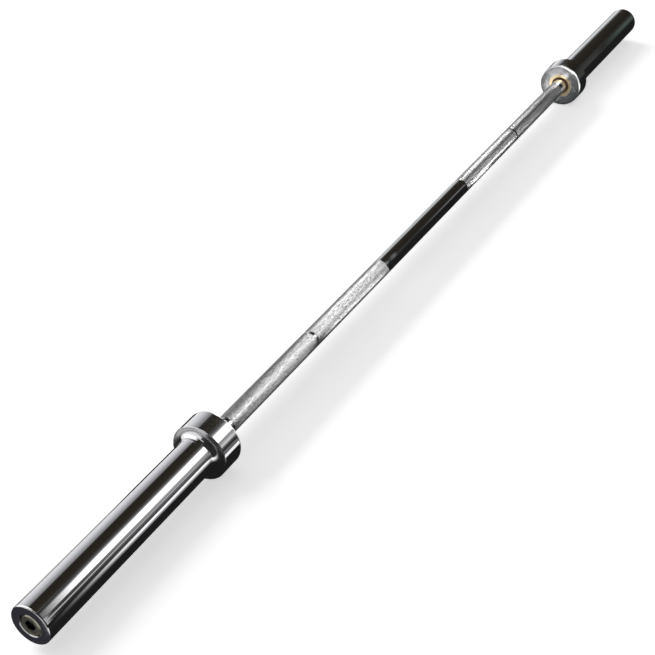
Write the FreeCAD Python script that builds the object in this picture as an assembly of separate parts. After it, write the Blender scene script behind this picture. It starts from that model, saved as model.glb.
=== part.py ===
import FreeCAD, Part
import math
import os

# Olympic barbell, 6 ft: a knurled shaft with a revolving sleeve on bronze bushings at each end.
# Millimetres. The bar's axis is X, Z is up, and the origin is the middle of the bar.

# The bar as a whole
between_collars = 1139.0      # inside face of one collar to the inside face of the other
flange_width = 35.0           # collar flange, measured along the bar
sleeve_length = 310.0         # from the collar flange to the sleeve's outer end
cut_overrun = 5.0             # how far a cutting shape runs past what it cuts

# The shaft
grip_diameter = 25.4
middle_length = 273.0         # smooth stretch between the two knurled grips
neck_length = 24.0            # smooth stretch beside each collar
knurl_relief = 0.4            # the knurled grips are this much below the smooth stretches
mark_spacing = 680.0          # ring mark to ring mark
mark_width = 4.0
mark_relief = 0.2             # the ring marks are this much below the knurled grips
shoulder_height = 1.45        # step from the grip down to the journal
stub_step = 0.75              # step from the journal down to the stub at the shaft's end
thread_wall = 2.5             # stub wall round the bolt
shaft_edge = 0.5              # chamfer on the shaft's turned edges

# The sleeve and its collar flange
sleeve_diameter = 50.0
flange_diameter = 74.0
rim_width = 2.0               # flat rim of the flange outside the cove
rim_edge = 0.8                # rounding of the rim's outer edge
collar_edge = 3.0             # rounding of the flange's inside edge
sleeve_edge = 2.0             # rounding of the sleeve's outer end
recess_edge = 0.8             # chamfer round the end recess
bore_clearance = 1.0          # sleeve bore to journal, between the bushings
recess_step = 0.15            # the end recess is this much wider than the outer bushing's seat

# The inner bushing, pressed into the collar
inner_bushing_length = 42.0
bushing_face_width = 5.0      # bronze ring that shows round the seal
bushing_wall = 1.7            # bushing wall round the shaft's shoulder
bushing_web = 1.5             # flange thickness behind the seal
bushing_edge = 0.6            # chamfer on the edge of the bushing's face

# The dust seal in the inner bushing's mouth
seal_width = 2.5              # across the ring
seal_length = 3.5             # along the bar
seal_inset = 0.8              # below the bushing's face
seal_lip = 0.8                # chamfer on the seal's front edge

# The outer bushing
outer_bushing_length = 40.0
outer_bushing_wall = 2.6

# The end bolt and the washers under its head
bolt_length = 50.0            # under the head
bolt_inset = 0.6              # the head's top lies this much inside the sleeve's end
head_height = 9.0
head_edge = 4.5               # rounding of the head's top edge, which makes it a low dome
head_share = 1.7              # head diameter as a share of the bolt's
socket_share = 0.75           # hexagon socket across its flats, as a share of the bolt's diameter
socket_depth = 5.0
bolt_point = 1.0              # chamfer at the bolt's tip
hole_spare = 6.0              # tapped hole beyond the bolt's tip
lock_thickness = 3.5
lock_width = 3.8              # across the spring washer's ring
lock_gap = 2.0                # the spring washer's split
retaining_thickness = 5.0
thrust_thickness = 2.0        # both thrust washers

# Clearances, each for one pair of faces
running_clearance = 0.05      # journal in its bushings, on the radius
shoulder_clearance = 0.3      # grip in the inner bushing, on the radius
seat_clearance = 0.02         # pressed seats, on the radius
thread_clearance = 0.05       # bolt in its tapped hole, on the radius
seal_clearance = 0.15         # seal round the grip, on the radius
washer_clearance = 0.15       # thrust washers on the shaft and in the inner bushing, on the radius
recess_clearance = 0.3        # washers in the end recess, on the radius
bolt_clearance = 0.4          # washers round the bolt, on the radius
end_float = 0.2               # each side of a thrust washer, along the bar

# Radii that follow
grip_radius = grip_diameter / 2
knurl_radius = grip_radius - knurl_relief
mark_radius = knurl_radius - mark_relief
journal_radius = grip_radius - shoulder_height
stub_radius = journal_radius - stub_step
bolt_radius = stub_radius - thread_wall
head_radius = bolt_radius * head_share
socket_width = 2 * bolt_radius * socket_share
sleeve_radius = sleeve_diameter / 2
flange_radius = flange_diameter / 2
cove_radius = flange_radius - rim_width - sleeve_radius
bushing_bore = journal_radius + running_clearance
shoulder_bore = grip_radius + shoulder_clearance
inner_bushing_radius = shoulder_bore + bushing_wall
seal_inner_radius = grip_radius + seal_clearance
seal_outer_radius = seal_inner_radius + seal_width
seal_pocket_radius = seal_outer_radius + seat_clearance
bushing_flange_radius = seal_pocket_radius + bushing_face_width
outer_bushing_radius = bushing_bore + outer_bushing_wall
recess_radius = outer_bushing_radius + seat_clearance + recess_step
sleeve_bore = journal_radius + bore_clearance
washer_radius = recess_radius - recess_clearance

# Places along the bar, at its right end
collar_face = between_collars / 2
rim_face = collar_face + flange_width
sleeve_end = rim_face + sleeve_length
seal_face = collar_face + seal_inset
seal_back = seal_face + seal_length
bushing_flange_back = seal_back + bushing_web
shaft_shoulder = bushing_flange_back + bushing_web
inner_thrust_face = shaft_shoulder + end_float
bushing_shoulder = inner_thrust_face + thrust_thickness + end_float
inner_bushing_end = collar_face + inner_bushing_length
head_top = sleeve_end - bolt_inset
head_seat = head_top - head_height
lock_seat = head_seat - lock_thickness
shaft_end = lock_seat - retaining_thickness
outer_thrust_face = shaft_end - end_float - thrust_thickness
journal_end = outer_thrust_face - end_float
outer_bushing_start = journal_end - outer_bushing_length
bolt_tip = head_seat - bolt_length

AXIS = FreeCAD.Vector(1, 0, 0)
ORIGIN = FreeCAD.Vector(0, 0, 0)
UP = FreeCAD.Vector(0, 0, 1)


def section_point(x, radius):
    """Point of a half section: x along the bar, radius out from its axis."""
    return FreeCAD.Vector(x, 0, radius)


class Outline:
    """Half section of a turned piece, drawn edge by edge and then revolved about the bar's axis."""

    def __init__(self, x, radius):
        self.start = section_point(x, radius)
        self.last = self.start
        self.edges = []

    def line(self, x, radius):
        """Straight edge to a point."""
        end = section_point(x, radius)
        self.edges.append(Part.LineSegment(self.last, end).toShape())
        self.last = end
        return self

    def arc(self, centre_x, centre_radius, x, radius):
        """Arc of less than half a circle to a point, about a centre."""
        centre = section_point(centre_x, centre_radius)
        end = section_point(x, radius)
        outward = (self.last - centre) + (end - centre)
        middle = centre + outward.normalize() * (end - centre).Length
        self.edges.append(Part.Arc(self.last, middle, end).toShape())
        self.last = end
        return self

    def turned(self):
        """Closed solid of the outline, a full turn about the bar's axis."""
        if self.last != self.start:
            self.line(self.start.x, self.start.z)
        return Part.Face(Part.Wire(self.edges)).revolve(ORIGIN, AXIS, 360)


def plain_ring(start, end, inner, outer):
    """Ring with a rectangular section."""
    return Outline(start, inner).line(end, inner).line(end, outer).line(start, outer).turned()


def half_shaft_points():
    """Outline of the shaft's right half, from the middle of the bar to the stub's end face."""
    knurl_start = middle_length / 2
    knurl_end = collar_face - neck_length
    mark_start = (mark_spacing - mark_width) / 2
    mark_end = (mark_spacing + mark_width) / 2
    return [
        (knurl_start, grip_radius),
        (knurl_start + knurl_relief, knurl_radius),
        (mark_start, knurl_radius),
        (mark_start + mark_relief, mark_radius),
        (mark_end - mark_relief, mark_radius),
        (mark_end, knurl_radius),
        (knurl_end - knurl_relief, knurl_radius),
        (knurl_end, grip_radius),
        (shaft_shoulder - shaft_edge, grip_radius),
        (shaft_shoulder, grip_radius - shaft_edge),
        (shaft_shoulder, journal_radius),
        (journal_end - shaft_edge, journal_radius),
        (journal_end, journal_radius - shaft_edge),
        (journal_end, stub_radius),
        (shaft_end - shaft_edge, stub_radius),
        (shaft_end, stub_radius - shaft_edge),
    ]


def tapped_hole():
    """Hole for the end bolt, with the drill's cone at its bottom."""
    radius = bolt_radius + thread_clearance
    bottom = bolt_tip - hole_spare
    hole = Outline(bottom - radius / 2, 0)
    hole.line(bottom, radius).line(shaft_end + cut_overrun, radius).line(shaft_end + cut_overrun, 0)
    return hole.turned()


def shaft():
    """One steel bar: middle, knurled grips with their ring marks, necks, journals and tapped ends."""
    right_half = half_shaft_points()
    left_half = [(-x, radius) for x, radius in reversed(right_half)]
    outline = Outline(-shaft_end, 0)
    for x, radius in left_half + right_half:
        outline.line(x, radius)
    outline.line(shaft_end, 0)
    bar = outline.turned()
    for turn in end_turns.values():
        bar = bar.cut(at_end(tapped_hole(), turn))
    return bar


def sleeve():
    """Steel sleeve and collar flange in one piece, bored for the bushings, with the end recess."""
    flange_seat = bushing_flange_radius + seat_clearance
    bushing_seat = inner_bushing_radius + seat_clearance
    outer_seat = outer_bushing_radius + seat_clearance
    cove_top = sleeve_radius + cove_radius
    cove_end = rim_face + cove_radius
    outline = Outline(collar_face, flange_seat)
    outline.line(collar_face, flange_radius - collar_edge)
    outline.arc(
        collar_face + collar_edge, flange_radius - collar_edge,
        collar_face + collar_edge, flange_radius,
    )
    outline.line(rim_face - rim_edge, flange_radius)
    outline.arc(rim_face - rim_edge, flange_radius - rim_edge, rim_face, flange_radius - rim_edge)
    outline.line(rim_face, cove_top)
    outline.arc(cove_end, cove_top, cove_end, sleeve_radius)
    outline.line(sleeve_end - sleeve_edge, sleeve_radius)
    outline.arc(
        sleeve_end - sleeve_edge, sleeve_radius - sleeve_edge,
        sleeve_end, sleeve_radius - sleeve_edge,
    )
    outline.line(sleeve_end, recess_radius + recess_edge)
    outline.line(sleeve_end - recess_edge, recess_radius)
    outline.line(journal_end, recess_radius)
    outline.line(journal_end, outer_seat)
    outline.line(outer_bushing_start, outer_seat)
    outline.line(outer_bushing_start, sleeve_bore)
    outline.line(inner_bushing_end, sleeve_bore)
    outline.line(inner_bushing_end, bushing_seat)
    outline.line(bushing_flange_back, bushing_seat)
    outline.line(bushing_flange_back, flange_seat)
    return outline.turned()


def inner_bushing():
    """Flanged bronze bushing: seal pocket, then the shoulder's bore, then the journal's bore."""
    outline = Outline(collar_face, seal_pocket_radius + bushing_edge)
    outline.line(collar_face, bushing_flange_radius - bushing_edge)
    outline.line(collar_face + bushing_edge, bushing_flange_radius)
    outline.line(bushing_flange_back, bushing_flange_radius)
    outline.line(bushing_flange_back, inner_bushing_radius)
    outline.line(inner_bushing_end, inner_bushing_radius)
    outline.line(inner_bushing_end, bushing_bore)
    outline.line(bushing_shoulder, bushing_bore)
    outline.line(bushing_shoulder, shoulder_bore)
    outline.line(seal_back, shoulder_bore)
    outline.line(seal_back, seal_pocket_radius)
    outline.line(collar_face + bushing_edge, seal_pocket_radius)
    return outline.turned()


def dust_seal():
    """Rubber ring in the inner bushing's mouth, with a sloping lip towards the grip."""
    outline = Outline(seal_back, seal_inner_radius)
    outline.line(seal_back, seal_outer_radius)
    outline.line(seal_face, seal_outer_radius)
    outline.line(seal_face, seal_inner_radius + seal_lip)
    outline.line(seal_face + seal_lip, seal_inner_radius)
    return outline.turned()


def inner_thrust_washer():
    """Bronze washer between the shaft's shoulder and the inner bushing."""
    return plain_ring(
        inner_thrust_face, inner_thrust_face + thrust_thickness,
        journal_radius + washer_clearance, shoulder_bore - washer_clearance,
    )


def outer_bushing():
    """Plain bronze bushing against the step in the sleeve's bore."""
    return plain_ring(outer_bushing_start, journal_end, bushing_bore, outer_bushing_radius)


def outer_thrust_washer():
    """Bronze washer between the outer bushing and the retaining washer."""
    return plain_ring(
        outer_thrust_face, outer_thrust_face + thrust_thickness,
        stub_radius + washer_clearance, washer_radius,
    )


def retaining_washer():
    """Thick steel washer, clamped on the end of the shaft."""
    return plain_ring(shaft_end, lock_seat, bolt_radius + bolt_clearance, washer_radius)


def lock_washer():
    """Split spring washer under the bolt's head, drawn flat."""
    inner = bolt_radius + bolt_clearance
    outer = inner + lock_width
    ring = plain_ring(lock_seat, head_seat, inner, outer)
    corner = FreeCAD.Vector(lock_seat - cut_overrun, -lock_gap / 2, 0)
    split = Part.makeBox(lock_thickness + 2 * cut_overrun, lock_gap, outer + cut_overrun, corner)
    return ring.cut(split)


def end_bolt():
    """Domed head socket screw, its thread drawn as a plain shank."""
    outline = Outline(bolt_tip, 0)
    outline.line(bolt_tip, bolt_radius - bolt_point)
    outline.line(bolt_tip + bolt_point, bolt_radius)
    outline.line(head_seat, bolt_radius)
    outline.line(head_seat, head_radius)
    outline.line(head_top - head_edge, head_radius)
    outline.arc(head_top - head_edge, head_radius - head_edge, head_top, head_radius - head_edge)
    outline.line(head_top, 0)
    corner_radius = socket_width / 2 / math.cos(math.pi / 6)
    socket_floor = head_top - socket_depth
    corners = []
    for index in range(6):
        angle = index * math.pi / 3
        corners.append(FreeCAD.Vector(
            socket_floor, corner_radius * math.cos(angle), corner_radius * math.sin(angle)))
    hexagon = Part.Face(Part.makePolygon(corners + corners[:1]))
    socket = hexagon.extrude(AXIS * (socket_depth + cut_overrun))
    drill_tip = Part.makeCone(
        0, socket_width / 2, socket_width / 4, FreeCAD.Vector(socket_floor - socket_width / 4, 0, 0), AXIS)
    return outline.turned().cut(socket).cut(drill_tip)


def at_end(piece, turn):
    """A right end piece, turned about the upright axis through the middle of the bar."""
    placed = piece.copy()
    placed.rotate(ORIGIN, UP, turn)
    return placed


end_turns = {"right": 0, "left": 180}
end_pieces = (
    sleeve, inner_bushing, dust_seal, inner_thrust_washer, outer_bushing,
    outer_thrust_washer, retaining_washer, lock_washer, end_bolt,
)

os.makedirs("parts", exist_ok=True)
shaft().exportStep("parts/shaft.step")
for end_name, turn in end_turns.items():
    for make_piece in end_pieces:
        at_end(make_piece(), turn).exportStep(f"parts/{end_name}_{make_piece.__name__}.step")
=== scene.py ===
"""Dresses a revolving sleeve barbell: plated steel, diamond knurling, bronze bushings and a studio.

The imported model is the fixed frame. Lengths are in metres, and the bar lies along X.
"""

import math
from collections import namedtuple

import bmesh
import bpy
from bpy.props import FloatProperty, FloatVectorProperty, IntProperty, PointerProperty
from bpy.types import Operator, Panel, PropertyGroup
from mathutils import Matrix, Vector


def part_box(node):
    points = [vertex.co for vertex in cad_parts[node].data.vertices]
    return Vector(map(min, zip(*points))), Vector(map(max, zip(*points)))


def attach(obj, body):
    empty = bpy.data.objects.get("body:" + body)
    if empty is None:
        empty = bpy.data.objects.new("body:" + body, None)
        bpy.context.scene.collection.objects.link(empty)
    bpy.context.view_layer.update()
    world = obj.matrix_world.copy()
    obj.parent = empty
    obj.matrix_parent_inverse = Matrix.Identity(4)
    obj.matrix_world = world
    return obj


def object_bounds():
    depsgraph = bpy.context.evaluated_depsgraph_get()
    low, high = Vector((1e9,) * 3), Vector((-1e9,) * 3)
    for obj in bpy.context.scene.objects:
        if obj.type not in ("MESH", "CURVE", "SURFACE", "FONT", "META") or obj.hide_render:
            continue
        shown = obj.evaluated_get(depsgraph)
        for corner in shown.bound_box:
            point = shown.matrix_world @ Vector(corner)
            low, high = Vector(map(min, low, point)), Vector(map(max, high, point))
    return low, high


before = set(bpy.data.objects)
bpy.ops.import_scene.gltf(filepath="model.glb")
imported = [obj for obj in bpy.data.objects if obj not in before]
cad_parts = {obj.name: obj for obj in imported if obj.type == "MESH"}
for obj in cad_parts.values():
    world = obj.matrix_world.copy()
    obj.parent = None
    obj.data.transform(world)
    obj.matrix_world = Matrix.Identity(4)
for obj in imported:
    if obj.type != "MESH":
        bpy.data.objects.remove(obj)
CAD_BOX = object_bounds()

bl_info = {
    "name": "Revolving sleeve barbell",
    "version": (1, 0, 0),
    "blender": (4, 5, 0),
    "location": "3D View > Sidebar > Barbell",
    "description": "Plated finish, knurled grips, bearings and a studio for a revolving sleeve barbell",
    "category": "Object",
}

# Names and sizes of the bar's parts
ENDS = ("left", "right")
BRONZE_PARTS = ("inner_bushing", "outer_bushing", "inner_thrust_washer", "outer_thrust_washer")
SLEEVE_LOW, SLEEVE_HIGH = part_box("right_sleeve")
COLLAR_FACE = SLEEVE_LOW.x
SLEEVE_END = SLEEVE_HIGH.x
BOLT_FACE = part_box("right_end_bolt")[1].x
GRIP_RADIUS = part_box("shaft")[1].y
TUBE_RADIUS = 0.025
FLANGE_WIDTH = 0.035
COVE_RADIUS = 0.006
SOCKET_RADIUS = 0.0072
BAND_WALL = 0.0005

# How far from a face a point still counts as part of it
INSIDE_FACE_DEPTH = 0.0006
END_FACE_DEPTH = 0.0002
COVE_DEPTH = 0.0004
BOLT_RIM_DEPTH = 0.0006

# The floor and the camera
FLOOR_HEIGHT = CAD_BOX[0].z
FLOOR_SIZE = 30.0
MATT = 0.9
SENSOR_WIDTH = 36.0
CLIP_END = 100.0

# The shade flag, as shares of the width of a sleeve's shadow
SHADE_WIDTH = 1.25
SHADE_SHIFT = -0.1

# The cards: facets round the bar, darkest tone, and the angle in degrees where counting starts
CARD_STEPS = 24
CARD_BLACK = 0.02
SEAM_ANGLE = -100.0

# The flaring cards: largest radius, and how far along the bar they go for each metre outwards
BAND_LIGHT_RADIUS = 1.45
BAND_LIGHT_LEAN = 0.3


class GripSettings(PropertyGroup):
    """The knurled grips on the bar"""

    middle_length: FloatProperty(
        name="Smooth middle",
        description="Length of the smooth stretch between the two grips",
        default=0.273,
        unit="LENGTH",
    )
    mark_spacing: FloatProperty(
        name="Ring marks apart",
        description="Distance between the middles of the two ring marks",
        default=0.680,
        unit="LENGTH",
    )
    mark_width: FloatProperty(
        name="Ring mark width",
        description="Width of the smooth ring in each grip",
        default=0.004,
        unit="LENGTH",
    )
    neck_length: FloatProperty(
        name="Smooth neck",
        description="Length left smooth beside each collar",
        default=0.024,
        unit="LENGTH",
    )
    depth: FloatProperty(
        name="Knurl depth",
        description="Height of a knurl diamond above its groove",
        default=0.00016,
        unit="LENGTH",
    )
    flat: FloatProperty(
        name="Diamond flats",
        description="Share of a diamond's width that its flat top takes",
        default=0.75,
        subtype="FACTOR",
        min=0.1,
        max=0.9,
    )
    starts: IntProperty(
        name="Diamonds around",
        description="Number of diamonds round the bar",
        default=56,
        min=12,
    )
    pitch: FloatProperty(
        name="Diamond length",
        description="Length of a diamond along the bar",
        default=0.0022,
        unit="LENGTH",
    )


class FinishSettings(PropertyGroup):
    """The colours of the finishes"""

    chrome: FloatVectorProperty(
        name="Chrome",
        description="Colour of the polished plating",
        default=(0.76, 0.76, 0.775),
        subtype="COLOR",
        min=0,
        max=1,
    )
    crest: FloatVectorProperty(
        name="Knurl crest",
        description="Colour of the plating on top of the knurl",
        default=(0.95, 0.95, 0.95),
        subtype="COLOR",
        min=0,
        max=1,
    )
    # Near-black: painted shade in the knurl's grooves and on its flanks, which also dims what they
    # mirror
    groove: FloatVectorProperty(
        name="Knurl groove",
        description="Colour of the plating deep in the knurl",
        default=(0.030, 0.030, 0.029),
        subtype="COLOR",
        min=0,
        max=1,
    )
    bronze: FloatVectorProperty(
        name="Bronze",
        description="Colour of the bushings and thrust washers",
        default=(0.96, 0.78, 0.48),
        subtype="COLOR",
        min=0,
        max=1,
    )
    rubber: FloatVectorProperty(
        name="Rubber",
        description="Colour of the dust seals",
        default=(0.24, 0.115, 0.050),
        subtype="COLOR",
        min=0,
        max=1,
    )
    washer: FloatVectorProperty(
        name="Washer steel",
        description="Colour of the steel washers",
        default=(0.50, 0.50, 0.49),
        subtype="COLOR",
        min=0,
        max=1,
    )
    bolt: FloatVectorProperty(
        name="Bolt steel",
        description="Colour of the passivated end bolts",
        default=(0.62, 0.60, 0.47),
        subtype="COLOR",
        min=0,
        max=1,
    )
    # Near-black: painted shade inside the end bolts' sockets
    socket: FloatVectorProperty(
        name="Bolt socket",
        description="Colour inside the end bolts' sockets",
        default=(0.03, 0.03, 0.028),
        subtype="COLOR",
        min=0,
        max=1,
    )


class StudioSettings(PropertyGroup):
    """The floor, the light and the camera"""

    floor: FloatVectorProperty(
        name="Floor",
        description="Colour of the floor",
        default=(0.90, 0.90, 0.90),
        subtype="COLOR",
        min=0,
        max=1,
    )
    floor_lift: FloatProperty(
        name="Floor lift",
        description="Glow that brings the lit floor up to white",
        default=0.585,
        min=0,
    )
    ambient: FloatProperty(
        name="Ambient",
        description="Strength of the light from all around",
        default=0.15,
        min=0,
    )
    key: FloatProperty(
        name="Key light",
        description="Strength of the large soft light beside the bar",
        default=1.05,
        min=0,
    )
    fill: FloatProperty(
        name="Fill light",
        description="Strength of the very broad light behind the key light",
        default=0.60,
        min=0,
    )
    key_height: FloatProperty(
        name="Light height",
        description="Angle of the key light and the fill light above the floor",
        default=math.radians(47.0),
        subtype="ANGLE",
    )
    key_spread: FloatProperty(
        name="Key light spread",
        description="Angle that the key light fills, which softens the shadow",
        default=math.radians(28.0),
        subtype="ANGLE",
    )
    fill_spread: FloatProperty(
        name="Fill light spread",
        description="Angle that the fill light fills, which widens the shadow",
        default=math.radians(110.0),
        subtype="ANGLE",
    )
    camera_place: FloatVectorProperty(
        name="Camera",
        description="Where the camera stands",
        default=(-1.6238, -0.7310, 1.0270),
        subtype="TRANSLATION",
        unit="LENGTH",
    )
    camera_yaw: FloatProperty(
        name="Camera yaw",
        description="Direction of view, from the bar's own direction",
        default=math.radians(28.781),
        subtype="ANGLE",
    )
    camera_pitch: FloatProperty(
        name="Camera pitch",
        description="How far the camera looks down",
        default=math.radians(34.282),
        subtype="ANGLE",
    )
    camera_lens: FloatProperty(
        name="Camera lens",
        description="Focal length in millimetres on a 36 mm wide frame",
        default=75.60,
        min=1,
    )


class Signal:
    """One output socket. Arithmetic on it adds Math nodes to its tree."""

    def __init__(self, bench, socket):
        self.bench = bench
        self.socket = socket

    def __add__(self, other):
        return self.bench.maths("ADD", self, other)

    def __radd__(self, other):
        return self.bench.maths("ADD", other, self)

    def __sub__(self, other):
        return self.bench.maths("SUBTRACT", self, other)

    def __rsub__(self, other):
        return self.bench.maths("SUBTRACT", other, self)

    def __mul__(self, other):
        return self.bench.maths("MULTIPLY", self, other)

    def __rmul__(self, other):
        return self.bench.maths("MULTIPLY", other, self)

    def __truediv__(self, other):
        return self.bench.maths("DIVIDE", self, other)

    def __lt__(self, other):
        return self.bench.maths("LESS_THAN", self, other)

    def __gt__(self, other):
        return self.bench.maths("GREATER_THAN", self, other)

    def __abs__(self):
        return self.bench.maths("ABSOLUTE", self)


class Bench:
    """A node tree and the one way to add nodes to it."""

    def __init__(self, tree):
        self.tree = tree

    def feed(self, socket, value):
        if isinstance(value, Signal):
            self.tree.links.new(value.socket, socket)
        else:
            socket.default_value = value

    def node(self, kind, settings, inputs, output):
        made = self.tree.nodes.new(kind)
        for name, value in settings.items():
            if name == "stops":
                set_stops(made.color_ramp, value)
            else:
                setattr(made, name, value)
        for name, value in inputs.items():
            self.feed(made.inputs[name], value)
        return Signal(self, made.outputs[output])

    def maths(self, operation, *terms):
        return self.node("ShaderNodeMath", {"operation": operation}, dict(enumerate(terms)), "Value")

    def place(self):
        return self.node("ShaderNodeTexCoord", {}, {}, "Object")

    def axes(self, vector):
        split = self.node("ShaderNodeSeparateXYZ", {}, {"Vector": vector}, "X")
        outputs = split.socket.node.outputs
        return split, Signal(self, outputs["Y"]), Signal(self, outputs["Z"])

    def noise(self, vector, scale, detail=3.0):
        inputs = {"Vector": vector, "Scale": scale, "Detail": detail, "Roughness": 0.55}
        return self.node("ShaderNodeTexNoise", {}, inputs, "Fac")

    def lines(self, value, scale):
        inputs = {"W": value * scale, "Detail": 2.0}
        return self.node("ShaderNodeTexNoise", {"noise_dimensions": "1D"}, inputs, "Fac")

    def seen(self):
        """One for what the camera sees, straight, mirrored or through something clear, else nought."""
        path = self.node("ShaderNodeLightPath", {}, {}, "Is Camera Ray")
        outputs = path.socket.node.outputs
        mirrored = Signal(self, outputs["Is Glossy Ray"])
        through = Signal(self, outputs["Is Transmission Ray"])
        return self.maths("MAXIMUM", self.maths("MAXIMUM", path, mirrored), through)

    def stretched(self, vector, scale):
        inputs = {0: vector, 1: scale}
        return self.node("ShaderNodeVectorMath", {"operation": "MULTIPLY"}, inputs, "Vector")

    def ramp(self, value, low, high):
        inputs = {"Value": value, "From Min": low, "From Max": high}
        settings = {"interpolation_type": "SMOOTHSTEP"}
        return self.node("ShaderNodeMapRange", settings, inputs, "Result")

    def blend(self, share, first, second):
        inputs = {0: share, 6: first, 7: second}
        return self.node("ShaderNodeMix", {"data_type": "RGBA"}, inputs, 2)

    def bump(self, height, distance):
        inputs = {"Height": height, "Distance": distance, "Strength": 1.0}
        return self.node("ShaderNodeBump", {}, inputs, "Normal")


def set_stops(color_ramp, stops):
    elements = color_ramp.elements
    while len(elements) < len(stops):
        elements.new(1.0)
    for element, (position, colour) in zip(elements, stops):
        element.position = position
        element.color = solid(colour)


def solid(colour):
    return (*colour, 1.0)


def dulled(colour, share):
    return tuple(channel * share for channel in colour)


def grey(level, tint=(1.0, 1.0, 1.0)):
    return dulled(tint, level)


def tones(*steps, tint=(1.0, 1.0, 1.0)):
    """A card's stops, each an angle and a colour, from angles and levels in one tint."""
    return [(angle, grey(level, tint)) for angle, level in steps]


def new_finish(name):
    """A material with its bench and the shader that the bench feeds."""
    material = bpy.data.materials.new(name)
    material.use_nodes = True
    bench = Bench(material.node_tree)
    return material, bench, material.node_tree.nodes["Principled BSDF"]


def dress(bench, shader, **inputs):
    for name, value in inputs.items():
        bench.feed(shader.inputs[name.replace("_", " ").title()], value)


def round_the_bar(bench):
    """A point's place, how far along the bar it is from the middle, and how far from the axis."""
    place = bench.place()
    x, y, z = bench.axes(place)
    return place, abs(x), bench.maths("SQRT", y * y + z * z)


def polish_marks(bench, place):
    """A faint haze and the fine polishing lines that run round the bar."""
    haze = bench.noise(place, scale=16.0)
    lines = bench.noise(bench.stretched(place, (1500.0, 14.0, 14.0)), scale=1.0, detail=2.0)
    return haze, lines


def polished_chrome(colours):
    """Mirror plating with polishing lines, turned on a sleeve's flat faces and satin in its cove."""
    material, bench, shader = new_finish("polished_chrome")
    place, along, radius = round_the_bar(bench)
    haze, polish = polish_marks(bench, place)
    turned = bench.lines(radius, scale=2600.0)
    inside = along < COLLAR_FACE + INSIDE_FACE_DEPTH
    face = bench.maths("MAXIMUM", inside, along > SLEEVE_END - END_FACE_DEPTH)
    flare = bench.ramp(radius, TUBE_RADIUS, TUBE_RADIUS + COVE_RADIUS)
    cove = (along > COLLAR_FACE + FLANGE_WIDTH - COVE_DEPTH) * flare
    mirror = 0.03 + 0.035 * haze + 0.02 * polish
    blurred = mirror + face * (0.11 + 0.06 * turned - mirror)
    plate = bench.blend(haze, solid(colours.chrome), solid(dulled(colours.chrome, 0.93)))
    steel = bench.blend(turned, solid(dulled(colours.chrome, 0.55)), solid(dulled(colours.chrome, 0.80)))
    marks = polish * 0.15 + face * turned * 3.0 + inside * turned * 6.0
    dress(
        bench,
        shader,
        base_color=bench.blend(face, plate, steel),
        metallic=1.0,
        roughness=blurred + cove * (0.21 + 0.06 * turned - mirror),
        normal=bench.bump(marks, distance=0.00001),
    )
    return material


def bar_chrome(colours):
    """Mirror plating for the smooth stretches of the bar."""
    material, bench, shader = new_finish("bar_chrome")
    haze, polish = polish_marks(bench, bench.place())
    dress(
        bench,
        shader,
        base_color=bench.blend(haze, solid(colours.chrome), solid(dulled(colours.chrome, 0.92))),
        metallic=1.0,
        roughness=0.012 + 0.02 * haze + 0.01 * polish,
        normal=bench.bump(polish, distance=0.0000015),
    )
    return material


def knurl_chrome(colours, root, crest):
    """Satin plating with painted shade in the grooves and on the flanks, and crests that catch the light
    unevenly.
    """
    material, bench, shader = new_finish("knurl_chrome")
    place, _, radius = round_the_bar(bench)
    # All but the top of the knurl takes the near-black groove colour: painted shade in the grooves and
    # on the flanks
    crown = bench.ramp(radius, root + 0.85 * (crest - root), crest)
    glint = bench.ramp(bench.noise(place, scale=780.0, detail=1.0), low=0.34, high=0.55)
    grain = bench.noise(place, scale=2200.0, detail=2.0)
    height = crown * (0.15 + 0.85 * glint)
    dress(
        bench,
        shader,
        base_color=bench.blend(height, solid(colours.groove), solid(colours.crest)),
        metallic=1.0,
        roughness=0.34 - 0.14 * height + 0.04 * grain,
        normal=bench.bump(grain, distance=0.00001),
    )
    return material


def bronze_finish(colours):
    """Oiled bearing bronze with turning marks."""
    material, bench, shader = new_finish("bearing_bronze")
    place, _, radius = round_the_bar(bench)
    rings = bench.lines(radius, scale=2400.0)
    oil = bench.noise(place, scale=90.0)
    base = bench.blend(oil, solid(colours.bronze), solid(dulled(colours.bronze, 0.72)))
    dress(
        bench,
        shader,
        base_color=bench.blend(rings * 0.4, base, solid(dulled(colours.bronze, 0.6))),
        metallic=1.0,
        roughness=0.20 + 0.12 * oil + 0.08 * rings,
        normal=bench.bump(rings, distance=0.00002),
    )
    return material


def rubber_finish(colours):
    """Matt brown rubber with a fine moulded grain."""
    material, bench, shader = new_finish("seal_rubber")
    place = bench.place()
    dust = bench.noise(place, scale=160.0)
    grain = bench.noise(place, scale=3000.0, detail=2.0)
    dress(
        bench,
        shader,
        base_color=bench.blend(dust, solid(colours.rubber), solid(dulled(colours.rubber, 0.6))),
        roughness=0.50 + 0.15 * grain,
        normal=bench.bump(grain, distance=0.00003),
    )
    return material


def washer_finish(colours):
    """Plain ground steel."""
    material, bench, shader = new_finish("ground_steel")
    place = bench.place()
    cloud = bench.noise(place, scale=120.0)
    grain = bench.noise(place, scale=2600.0, detail=2.0)
    dress(
        bench,
        shader,
        base_color=bench.blend(cloud, solid(colours.washer), solid(dulled(colours.washer, 0.75))),
        metallic=1.0,
        roughness=0.28 + 0.12 * grain,
        normal=bench.bump(grain, distance=0.00002),
    )
    return material


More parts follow.
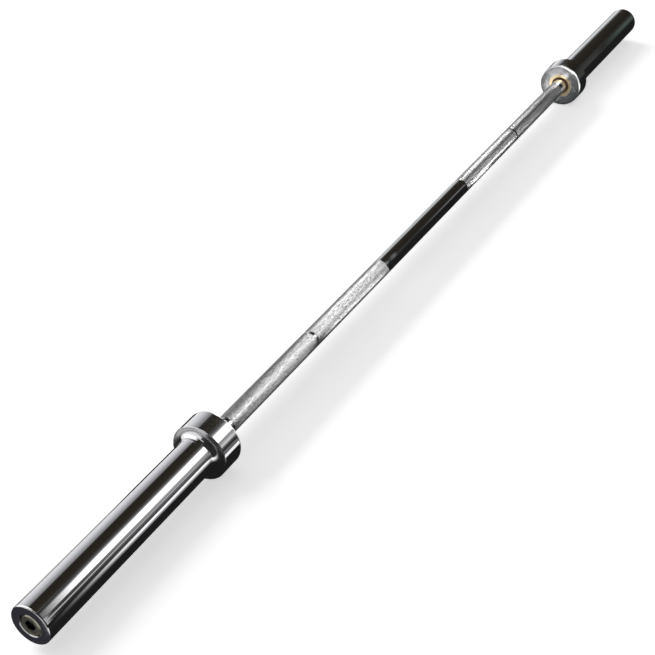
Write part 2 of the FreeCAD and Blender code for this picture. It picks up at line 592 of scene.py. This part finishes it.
def bolt_finish(colours):
    """Olive passivated steel, with painted shade that turns it black inside the socket."""
    material, bench, shader = new_finish("bolt_steel")
    place, along, radius = round_the_bar(bench)
    cloud = bench.noise(place, scale=180.0)
    grain = bench.noise(place, scale=2400.0, detail=2.0)
    # Inside the socket the colour is near-black, painted shade in the hollow
    socket = (radius < SOCKET_RADIUS) * (along < BOLT_FACE - BOLT_RIM_DEPTH)
    plated = bench.blend(cloud, solid(colours.bolt), solid(dulled(colours.bolt, 0.66)))
    dress(
        bench,
        shader,
        base_color=bench.blend(socket, plated, solid(colours.socket)),
        metallic=1.0,
        roughness=0.26 + 0.14 * cloud + 0.06 * grain,
        normal=bench.bump(grain, distance=0.00002),
    )
    return material


def paint(node, material):
    """Puts a finish on a part of the frame."""
    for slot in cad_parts[node].material_slots:
        slot.material = material


def new_piece(name, bm, material):
    """Makes an object of a finished bmesh and frees the bmesh."""
    mesh = bpy.data.meshes.new(name)
    bm.to_mesh(mesh)
    bm.free()
    mesh.materials.append(material)
    piece = bpy.data.objects.new(name, mesh)
    bpy.context.scene.collection.objects.link(piece)
    return piece


def lifted(vert, radius):
    """Moves a vertex straight out from the bar's axis, or in towards it."""
    share = radius / math.hypot(vert.co.y, vert.co.z)
    vert.co.y *= share
    vert.co.z *= share


def knurled_band(start, end, grip):
    """A closed ring of knurl diamonds between two places along the bar."""
    crest = GRIP_RADIUS
    root = crest - grip.depth
    peak = root + grip.depth / (1.0 - grip.flat)
    columns = 2 * grip.starts
    rows = 2 * round((end - start) / grip.pitch)
    bm = bmesh.new()
    ends = [bm.verts.new((place, root, 0.0)) for place in (start, end)]
    line = bm.edges.new(ends)
    bmesh.ops.subdivide_edges(bm, edges=[line], cuts=rows - 1)
    bmesh.ops.spin(
        bm,
        geom=bm.verts[:] + bm.edges[:],
        cent=(0, 0, 0),
        axis=(1, 0, 0),
        angle=math.tau,
        steps=columns,
        use_merge=True,
    )
    tips = []
    for vert in bm.verts:
        row = round((vert.co.x - start) / (end - start) * rows)
        column = round(math.atan2(vert.co.z, vert.co.y) / math.tau * columns)
        if (row + column) % 2 and 0 < row < rows:
            lifted(vert, peak)
            tips.append(vert)
    bmesh.ops.triangulate(bm, faces=bm.faces[:], quad_method="SHORT_EDGE")
    bmesh.ops.bevel(
        bm,
        geom=tips,
        offset=100.0 * grip.flat,
        offset_type="PERCENT",
        affect="VERTICES",
        segments=1,
        profile=0.5,
        material=-1,
        clamp_overlap=False,
    )
    rims = [edge for edge in bm.edges if edge.is_boundary]
    walls = bmesh.ops.extrude_edge_only(bm, edges=rims)["geom"]
    for vert in [part for part in walls if isinstance(part, bmesh.types.BMVert)]:
        lifted(vert, crest - BAND_WALL)
    inner = [edge for edge in bm.edges if edge.is_boundary]
    bmesh.ops.bridge_loops(bm, edges=inner)
    bmesh.ops.recalc_face_normals(bm, faces=bm.faces[:])
    return bm


# The kinds of studio card
Arch = namedtuple("Arch", "name near far distance stops fades flare", defaults=(0.0,))
Band = namedtuple("Band", "name start end stops fades")
Strip = namedtuple("Strip", "name height ends sides tone fades lean", defaults=(0.0,))
Screen = namedtuple("Screen", "name place facing tone sides heights")

# Tints of the mirrored studio
LILAC = (0.96, 0.97, 1.0)
UMBER = (1.0, 0.84, 0.62)
STRAW = (1.0, 0.93, 0.75)
SAGE = (0.96, 1.0, 0.88)
FERN = (0.95, 1.0, 0.90)
MOSS = (0.86, 1.15, 0.95)

# Tones of the arched cards, by angle in degrees from the floor on the bar's left
NEAR_WALL = tones((-3, 0.85), (9, 0.94), (28, 0.69), (44, 0.38), tint=LILAC)
NEAR_WALL += tones((53, 0.15), (59, 0.06), (60, 0.055))
NEAR_ROOF = tones((60, 0.055))
NEAR_ROOF += tones((66, 0.022), (97, 0.032), tint=UMBER)
NEAR_ROOF += tones((108, 0.085))
SOFTBOX = tones((108, 0.085), (114, 0.24), (119, 0.85), (123, 3.0), (145, 3.0), (147.5, 1.0))
SIDE_WALL = tones((147.5, 0.80), (154, 0.50), (160, 0.26), (171, 0.15), (179, 0.12), (184, 0.06))
FAR_WALL = tones((-3, 0.80), (9, 0.87), (28, 0.42), tint=LILAC)
FAR_WALL += tones((40, 0.05))
FAR_WALL += tones((50, 0.035), tint=UMBER)
FAR_ROOF = tones((50, 0.035), (85, 0.027), tint=UMBER)
FAR_ROOF += tones((120, 0.020), tint=STRAW)
FAR_ROOF += tones((143, 0.050), tint=SAGE)
FAR_ROOF += tones((179, 0.060), tint=FERN)
FAR_ROOF += tones((184, 0.025))
FAR_TINT = tones((138, 0.03))
FAR_TINT += tones((148, 0.09), (166, 0.09), (176, 0.05), tint=MOSS)
MIDDLE_SHADE = tones((151, 0.05), (154, 0.022), (184, 0.015))
MIDDLE_SPOT = tones((103, 0.03), (114, 0.14), (142, 0.17), (152, 0.14), (158, 0.03))
MIDDLE_LINE = tones((145, 0.06), (147, 0.46), (150, 0.46), (152, 0.05))
FLANGE_WALL = tones((150, 0.42), (154.5, 0.28), (161, 0.60), (167, 0.90))
FLANGE_WALL += tones((171, 0.50), (175, 0.08), (184, 0.05))
COVE_LIGHT = tones((-3, 0.9), (6, 1.7), (62, 1.7), (76, 0.2))
NEAR_SIDE = tones((104, 0.03), (184, 0.03))
BACK_WALL = tones((-3, 0.80), (28, 0.40), (40, 0.05), (112, 0.04))
BACK_WALL += tones((122, 1.30), (146, 1.30), (152, 0.20), (184, 0.05))
EDGE_LINE = tones((161, 0.14), (162.3, 0.56), (167, 0.52), (168.5, 0.10))

# Arched cards: both ends along the bar, distance from the axis, tones, and how softly the ends fade
ARCHES = (
    Arch("near_wall", -1.5, 1.62, 1.5, NEAR_WALL, (0.2, 0.1)),
    Arch("near_roof", -1.2, 1.62, 1.5, NEAR_ROOF, (0.1, 0.1)),
    Arch("softbox", -0.1, 1.66, 1.5, SOFTBOX, (0.3, 0.12)),
    Arch("side_wall", -0.06, 1.62, 1.5, SIDE_WALL, (0.50, 0.1)),
    Arch("far_wall", 1.5, 7.0, 1.51, FAR_WALL, (0.12, 0.2)),
    Arch("far_roof", 1.5, 7.0, 1.52, FAR_ROOF, (0.12, 0.2)),
    Arch("far_tint", 3.45, 7.0, 1.47, FAR_TINT, (0.3, 0.2)),
    Arch("middle_shade", 1.555, 2.14, 1.44, MIDDLE_SHADE, (0.004, 0.004)),
    Arch("middle_spot", 1.566, 1.612, 1.42, MIDDLE_SPOT, (0.018, 0.010)),
    Arch("middle_line", 1.72, 2.128, 1.43, MIDDLE_LINE, (0.34, 0.004)),
    Arch("flange_wall", 0.57, 0.66, 1.46, FLANGE_WALL, (0.006, 0.006)),
    Arch("cove_light", -1.45, -0.30, 1.4, COVE_LIGHT, (0.1, 0.1)),
    Arch("near_side", -1.9, -0.10, 1.55, NEAR_SIDE, (0.01, 0.01)),
    Arch("back_wall", -7.0, -3.2, 1.5, BACK_WALL, (0.2, 0.3)),
    Arch("edge_line", -0.30, 0.568, 1.49, EDGE_LINE, (0.02, 0.004)),
)

# Tones that each knurled band mirrors, by the same angle
NEAR_OUTER = tones((-3, 0.23), (28, 0.30), (44, 0.46), (59, 0.62), (72, 0.90), (85, 1.38), (97, 2.10))
NEAR_OUTER += tones((108, 2.45), (120, 2.25), (131, 2.15), (143, 2.25))
NEAR_OUTER += tones((154, 1.95), (166, 1.42), (184, 1.40))
NEAR_INNER = tones((-3, 0.25), (9, 0.32), (28, 1.30), (44, 4.20), (59, 5.20), (72, 4.00), (85, 3.50))
NEAR_INNER += tones((108, 3.10), (131, 2.65), (143, 2.05), (154, 1.50), (166, 1.55), (184, 2.40))
FAR_INNER = tones((-3, 0.32), (9, 0.45), (28, 3.30), (42, 10.20), (54, 11.00), (66, 8.20), (78, 4.40))
FAR_INNER += tones((95, 1.10), (108, 0.65), (120, 0.95), (143, 2.90), (166, 2.30), (184, 4.20))
FAR_OUTER = tones((-3, 0.03), (9, 0.04), (28, 0.30), (42, 0.80), (54, 1.00))
FAR_OUTER += tones((66, 0.65), (80, 0.15), (97, 0.02), (140, 0.01), (184, 0.08))

# Lights of the knurled bands: both ends of the stretch of bar that mirrors them, tones and fades
BANDS = (
    Band("near_outer_glow", -0.543, -0.356, NEAR_OUTER, (0.004, 0.008)),
    Band("near_inner_glow", -0.325, -0.152, NEAR_INNER, (0.004, 0.004)),
    Band("far_inner_glow", 0.156, 0.326, FAR_INNER, (0.048, 0.003)),
    Band("far_outer_glow", 0.361, 0.548, FAR_OUTER, (0.004, 0.002)),
)

# Cards that lie on the floor: height above it, ends along the bar, sides, tone, fades and lean
CRISP = (0.001, 0.001)
NEAT = (0.004, 0.004)
STRIPS = (
    Strip("floor_flag", 0.0004, (-2.0, 5.0), (0.25, -1.65), grey(0.015), CRISP),
    Strip("cove_glow", 0.0008, (-0.87, -0.652), (0.16, 0.065), grey(0.60), (0.05, 0.004)),
    Strip("recess_light", 0.0008, (-1.02, -0.92), (-0.05, -0.20), grey(0.9), (0.02, 0.01)),
    Strip("end_flag", 0.0005, (-1.5, -0.925), (0.60, 0.15), grey(0.06), CRISP),
    Strip("end_glow", 0.0006, (-1.1, -0.916), (0.14, -0.06), (0.050, 0.046, 0.060), (0.05, 0.001)),
    Strip("sleeve_strip", 0.0006, (-0.95, -0.615), (-0.14, -0.40), grey(1.3), (0.20, 0.004), 0.75),
    Strip("sleeve_edge", 0.0006, (-0.95, -0.615), (-0.095, -0.14), grey(0.34), (0.22, 0.004), 0.75),
    Strip("flange_strip", 0.0008, (-0.622, -0.570), (-0.10, -0.155), grey(1.2), NEAT, 0.75),
    Strip("flange_edge", 0.0008, (-0.615, -0.560), (-0.16, -0.45), grey(0.17), NEAT, 0.75),
    Strip("outer_strip", 0.0006, (-0.545, -0.347), (-0.055, -1.40), grey(0.85), NEAT, 0.95),
    Strip("outer_edge", 0.0006, (-0.545, -0.347), (-0.030, -0.055), grey(0.48), NEAT, 0.95),
    Strip("inner_strip", 0.0006, (-0.334, -0.148), (-0.042, -1.00), grey(2.45), (0.015, 0.004), 1.18),
    Strip("far_strip", 0.0006, (0.150, 0.334), (-0.044, -0.60), grey(5.6), (0.004, 0.03), 1.45),
    Strip("far_tail", 0.0006, (0.350, 0.480), (-0.044, -0.60), grey(1.5), (0.004, 0.12), 1.60),
    Strip("collar_glow", 0.0007, (0.30, 0.57), (0.45, 0.045), grey(0.23), (0.04, 0.01)),
    Strip("collar_shade", 0.0007, (0.30, 0.57), (0.045, -0.10), (0.085, 0.095, 0.094), (0.04, 0.01)),
    Strip("bushing_glow", 0.0009, (0.452, 0.53), (0.046, 0.016), grey(3.8), (0.015, 0.02)),
)

# Upright cards across the bar: place along it, the way they face, tone, sides and heights
SCREENS = (
    Screen("camera_flag", -1.9, 1, 0.02, (0.25, -2.2), (FLOOR_HEIGHT, 2.263)),
    Screen("far_flag", 6.9, -1, 0.02, (1.5, -1.5), (FLOOR_HEIGHT, 1.463)),
    Screen("face_light", 0.10, 1, 34.0, (0.050, 0.0), (0.08, 0.36)),
    Screen("recess_glow", -0.96, 1, 0.60, (0.012, -0.050), (-0.036, 0.036)),
)


def glow_finish(name, tone_of):
    """The glow of a studio card, clear from behind. tone_of makes its colour on the card's bench."""
    material = bpy.data.materials.new(name)
    material.use_nodes = True
    tree = material.node_tree
    tree.nodes.clear()
    bench = Bench(tree)
    glow = bench.node("ShaderNodeEmission", {}, {"Color": tone_of(bench)}, "Emission")
    clear = bench.node("ShaderNodeBsdfTransparent", {}, {}, "BSDF")
    back = bench.node("ShaderNodeNewGeometry", {}, {}, "Backfacing")
    shown = bench.node("ShaderNodeMixShader", {}, {0: back, 1: glow, 2: clear}, "Shader")
    end = tree.nodes.new("ShaderNodeOutputMaterial")
    bench.feed(end.inputs["Surface"], shown)
    return material


def plain_glow(name, level):
    """An even grey glow."""
    return glow_finish(name, lambda bench: solid(grey(level)))


def faded(bench, run, ends, fades, tone):
    """A tone that goes down to black at both ends of a run along the bar."""
    near, far = ends
    rise = bench.ramp(run, near, near + fades[0])
    fall = 1.0 - bench.ramp(run, far - fades[1], far)
    return bench.blend(rise * fall, solid(grey(CARD_BLACK)), tone)


def mirror_only(piece):
    """Keeps a studio card out of everything but the reflections."""
    piece.visible_camera = False
    piece.visible_diffuse = False
    piece.visible_shadow = False
    piece.visible_transmission = False
    piece.visible_volume_scatter = False


def swept_strip(corners, first, last):
    """A strip swept round the bar between two angles. A corner is a place along the bar and a radius."""
    across = math.cos(math.radians(first))
    up = math.sin(math.radians(first))
    bm = bmesh.new()
    ends = [bm.verts.new((x, radius * across, radius * up)) for x, radius in corners]
    line = bm.edges.new(ends)
    bmesh.ops.spin(
        bm,
        geom=ends + [line],
        cent=(0, 0, 0),
        axis=(1, 0, 0),
        angle=math.radians(last - first),
        steps=CARD_STEPS,
    )
    return bm


def arched_card(card):
    """A card along the bar, bent round it, with tones by angle. A flaring one faces the near end."""
    first, last = card.stops[0][0], card.stops[-1][0]

    def tone_of(bench):
        x, y, z = bench.axes(bench.place())
        angle = bench.maths("ARCTAN2", z, y) * math.degrees(1.0)
        around = angle + 360.0 * (angle < SEAM_ANGLE)
        share = (around - first) / (last - first)
        stops = [((degrees - first) / (last - first), colour) for degrees, colour in card.stops]
        tone = bench.node("ShaderNodeValToRGB", {"stops": stops}, {"Fac": share}, "Color")
        return faded(bench, x, (card.near, card.far), card.fades, tone)

    corners = ((card.near, card.distance), (card.far, card.distance + card.flare))
    bm = swept_strip(corners, first, last)
    if card.flare:
        bmesh.ops.reverse_faces(bm, faces=bm.faces[:])
    mirror_only(new_piece(card.name, bm, glow_finish(card.name, tone_of)))


def band_light(band, eye):
    """A flaring card just where a band of the bar mirrors it for the camera."""
    reach = math.hypot(eye[1], eye[2])
    first = (band.start - eye[0]) / reach
    last = (band.end - eye[0]) / reach
    far = band.start + first * BAND_LIGHT_RADIUS
    inner = (far - BAND_LIGHT_LEAN * BAND_LIGHT_RADIUS - band.end) / (last - BAND_LIGHT_LEAN)
    flare = BAND_LIGHT_RADIUS - inner
    near = far - BAND_LIGHT_LEAN * flare
    arched_card(Arch(band.name, near, far, inner, band.stops, band.fades, flare))


def sheet_mesh(width, length):
    """A flat sheet round the origin, width along the bar and length across it."""
    bm = bmesh.new()
    bmesh.ops.create_grid(bm, x_segments=1, y_segments=1, size=0.5)
    bmesh.ops.scale(bm, vec=(width, length, 1.0), verts=bm.verts[:])
    return bm


def floor_card(card):
    """A plain card a little above the floor, its ends leaning with the bar's mirrored view."""
    near, far = card.ends
    left, right = card.sides

    def tone_of(bench):
        x, y, _ = bench.axes(bench.place())
        return faded(bench, x + y * card.lean, card.ends, card.fades, solid(card.tone))

    bm = sheet_mesh(far - near, left - right)
    middle = ((near + far) / 2, (left + right) / 2, FLOOR_HEIGHT + card.height)
    bmesh.ops.translate(bm, vec=middle, verts=bm.verts[:])
    for vert in bm.verts:
        vert.co.x -= vert.co.y * card.lean
    mirror_only(new_piece(card.name, bm, glow_finish(card.name, tone_of)))


def upright_card(card):
    """A plain card across the bar's direction, facing along it or back along it."""
    left, right = card.sides
    low, high = card.heights
    bm = sheet_mesh(high - low, left - right)
    bmesh.ops.rotate(bm, matrix=Matrix.Rotation(card.facing * math.pi / 2, 3, "Y"), verts=bm.verts[:])
    middle = (card.place, (left + right) / 2, (low + high) / 2)
    bmesh.ops.translate(bm, vec=middle, verts=bm.verts[:])
    mirror_only(new_piece(card.name, bm, plain_glow(card.name, card.tone)))


def ring_card(name, place, tone, radii, angles):
    """A part of a flat ring round the bar that faces along it."""
    bm = swept_strip([(place, radius) for radius in radii], *angles)
    bm.normal_update()
    turned = [face for face in bm.faces if face.normal.x < 0]
    bmesh.ops.reverse_faces(bm, faces=turned)
    mirror_only(new_piece(name, bm, plain_glow(name, tone)))


class BARBELL_OT_bar(Operator):
    """Plates the bar's smooth stretches"""

    bl_idname = "barbell.bar"
    bl_label = "Bar"

    def execute(self, context):
        paint("shaft", bar_chrome(context.scene.barbell_finish))
        return {"FINISHED"}


class BARBELL_OT_grips(Operator):
    """Cuts the four knurled bands of the two grips"""

    bl_idname = "barbell.grips"
    bl_label = "Knurled grips"

    def execute(self, context):
        grip = context.scene.barbell_grip
        root = GRIP_RADIUS - grip.depth
        satin = knurl_chrome(context.scene.barbell_finish, root, GRIP_RADIUS)
        inner = grip.middle_length / 2 + grip.depth
        mark_in = (grip.mark_spacing - grip.mark_width) / 2
        mark_out = (grip.mark_spacing + grip.mark_width) / 2
        outer = COLLAR_FACE - grip.neck_length - grip.depth
        bands = {
            "left_outer_grip": (-outer, -mark_out),
            "left_inner_grip": (-mark_in, -inner),
            "right_inner_grip": (inner, mark_in),
            "right_outer_grip": (mark_out, outer),
        }
        for name, (start, end) in bands.items():
            band = new_piece(name, knurled_band(start, end, grip), satin)
            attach(band, "shaft")
        return {"FINISHED"}


class BARBELL_OT_sleeves(Operator):
    """Plates the two sleeves"""

    bl_idname = "barbell.sleeves"
    bl_label = "Sleeves"

    def execute(self, context):
        plate = polished_chrome(context.scene.barbell_finish)
        for end in ENDS:
            paint(f"{end}_sleeve", plate)
        return {"FINISHED"}


class BARBELL_OT_bearings(Operator):
    """Finishes the bushings, the thrust washers and the dust seals"""

    bl_idname = "barbell.bearings"
    bl_label = "Bearings"

    def execute(self, context):
        colours = context.scene.barbell_finish
        bronze = bronze_finish(colours)
        rubber = rubber_finish(colours)
        for end in ENDS:
            for part in BRONZE_PARTS:
                paint(f"{end}_{part}", bronze)
            paint(f"{end}_dust_seal", rubber)
        return {"FINISHED"}


class BARBELL_OT_end_bolts(Operator):
    """Finishes the end bolts and the washers under them"""

    bl_idname = "barbell.end_bolts"
    bl_label = "End bolts"

    def execute(self, context):
        colours = context.scene.barbell_finish
        ground = washer_finish(colours)
        plated = bolt_finish(colours)
        for end in ENDS:
            paint(f"{end}_retaining_washer", ground)
            paint(f"{end}_lock_washer", ground)
            paint(f"{end}_end_bolt", plated)
        return {"FINISHED"}


class BARBELL_OT_studio(Operator):
    """Sets up the floor, the cards that the plating mirrors, the light and the camera"""

    bl_idname = "barbell.studio"
    bl_label = "Studio"

    def execute(self, context):
        studio = context.scene.barbell_studio
        self.lay_floor(studio)
        self.widen_shadow(studio)
        self.hang_cards(studio)
        self.light(context.scene, studio)
        self.aim_camera(context.scene, studio)
        context.scene.view_settings.view_transform = "Standard"
        return {"FINISHED"}

    def lay_floor(self, studio):
        material, bench, shader = new_finish("studio_floor")
        lift = bench.blend(bench.seen(), solid(grey(0.0)), solid(grey(studio.floor_lift)))
        dress(
            bench,
            shader,
            base_color=solid(studio.floor),
            roughness=MATT,
            emission_color=lift,
            emission_strength=1.0,
        )
        shader.inputs["Specular IOR Level"].default_value = 0.0
        bm = sheet_mesh(FLOOR_SIZE, FLOOR_SIZE)
        bmesh.ops.translate(bm, vec=(0.0, 0.0, FLOOR_HEIGHT), verts=bm.verts[:])
        new_piece("studio_floor", bm, material)

    def widen_shadow(self, studio):
        """Hangs an unseen flag along the grips, so that their shadow is as broad as the sleeves' own."""
        material, bench, shader = new_finish("shade_flag")
        dress(bench, shader, base_color=solid(grey(CARD_BLACK)), roughness=MATT)
        width = 2 * TUBE_RADIUS / math.sin(studio.key_height)
        bm = sheet_mesh(2 * COLLAR_FACE, SHADE_WIDTH * width)
        bmesh.ops.translate(bm, vec=(0.0, SHADE_SHIFT * width, 0.0), verts=bm.verts[:])
        flag = new_piece("shade_flag", bm, material)
        flag.visible_camera = False
        flag.visible_diffuse = False
        flag.visible_glossy = False
        flag.visible_transmission = False

    def hang_cards(self, studio):
        for card in ARCHES:
            arched_card(card)
        for band in BANDS:
            band_light(band, studio.camera_place)
        for card in STRIPS:
            floor_card(card)
        for card in SCREENS:
            upright_card(card)
        ring_card("rim_light", place=0.5455, tone=1.6, radii=(0.060, 0.150), angles=(40, 205))

    def light(self, scene, studio):
        world = bpy.data.worlds.new("studio_world")
        world.use_nodes = True
        scene.world = world
        bench = Bench(world.node_tree)
        sky = bench.blend(bench.seen(), solid(grey(studio.ambient)), solid(grey(1.0)))
        bench.feed(world.node_tree.nodes["Background"].inputs["Color"], sky)
        lamps = {
            "key_light": (studio.key, studio.key_spread),
            "fill_light": (studio.fill, studio.fill_spread),
        }
        for name, (strength, spread) in lamps.items():
            lamp = bpy.data.lights.new(name, "SUN")
            lamp.angle = spread
            lamp.energy = strength
            holder = bpy.data.objects.new(name, lamp)
            holder.rotation_euler = (studio.key_height - math.pi / 2, 0.0, 0.0)
            holder.visible_glossy = False
            scene.collection.objects.link(holder)

    def aim_camera(self, scene, studio):
        data = bpy.data.cameras.new("camera")
        data.sensor_width = SENSOR_WIDTH
        data.lens = studio.camera_lens
        data.clip_end = CLIP_END
        camera = bpy.data.objects.new("camera", data)
        camera.location = studio.camera_place
        tilt = math.pi / 2 - studio.camera_pitch
        turn = studio.camera_yaw - math.pi / 2
        camera.rotation_euler = (tilt, 0.0, turn)
        scene.collection.objects.link(camera)
        scene.camera = camera


STEPS = (
    BARBELL_OT_bar,
    BARBELL_OT_grips,
    BARBELL_OT_sleeves,
    BARBELL_OT_bearings,
    BARBELL_OT_end_bolts,
    BARBELL_OT_studio,
)


class BARBELL_PT_panel(Panel):
    """The barbell's settings and steps"""

    bl_label = "Barbell"
    bl_space_type = "VIEW_3D"
    bl_region_type = "UI"
    bl_category = "Barbell"

    def draw(self, context):
        for group in ("barbell_grip", "barbell_finish", "barbell_studio"):
            box = self.layout.box()
            settings = getattr(context.scene, group)
            for name in settings.__annotations__:
                box.prop(settings, name)
        for step in STEPS:
            self.layout.operator(step.bl_idname)


CLASSES = (GripSettings, FinishSettings, StudioSettings, *STEPS, BARBELL_PT_panel)


def register():
    for cls in CLASSES:
        bpy.utils.register_class(cls)
    bpy.types.Scene.barbell_grip = PointerProperty(type=GripSettings)
    bpy.types.Scene.barbell_finish = PointerProperty(type=FinishSettings)
    bpy.types.Scene.barbell_studio = PointerProperty(type=StudioSettings)


def unregister():
    del bpy.types.Scene.barbell_studio
    del bpy.types.Scene.barbell_finish
    del bpy.types.Scene.barbell_grip
    for cls in reversed(CLASSES):
        bpy.utils.unregister_class(cls)


def main():
    register()
    bpy.ops.barbell.bar()
    bpy.ops.barbell.grips()
    bpy.ops.barbell.sleeves()
    bpy.ops.barbell.bearings()
    bpy.ops.barbell.end_bolts()
    bpy.ops.barbell.studio()


if __name__ == "__main__":
    main()
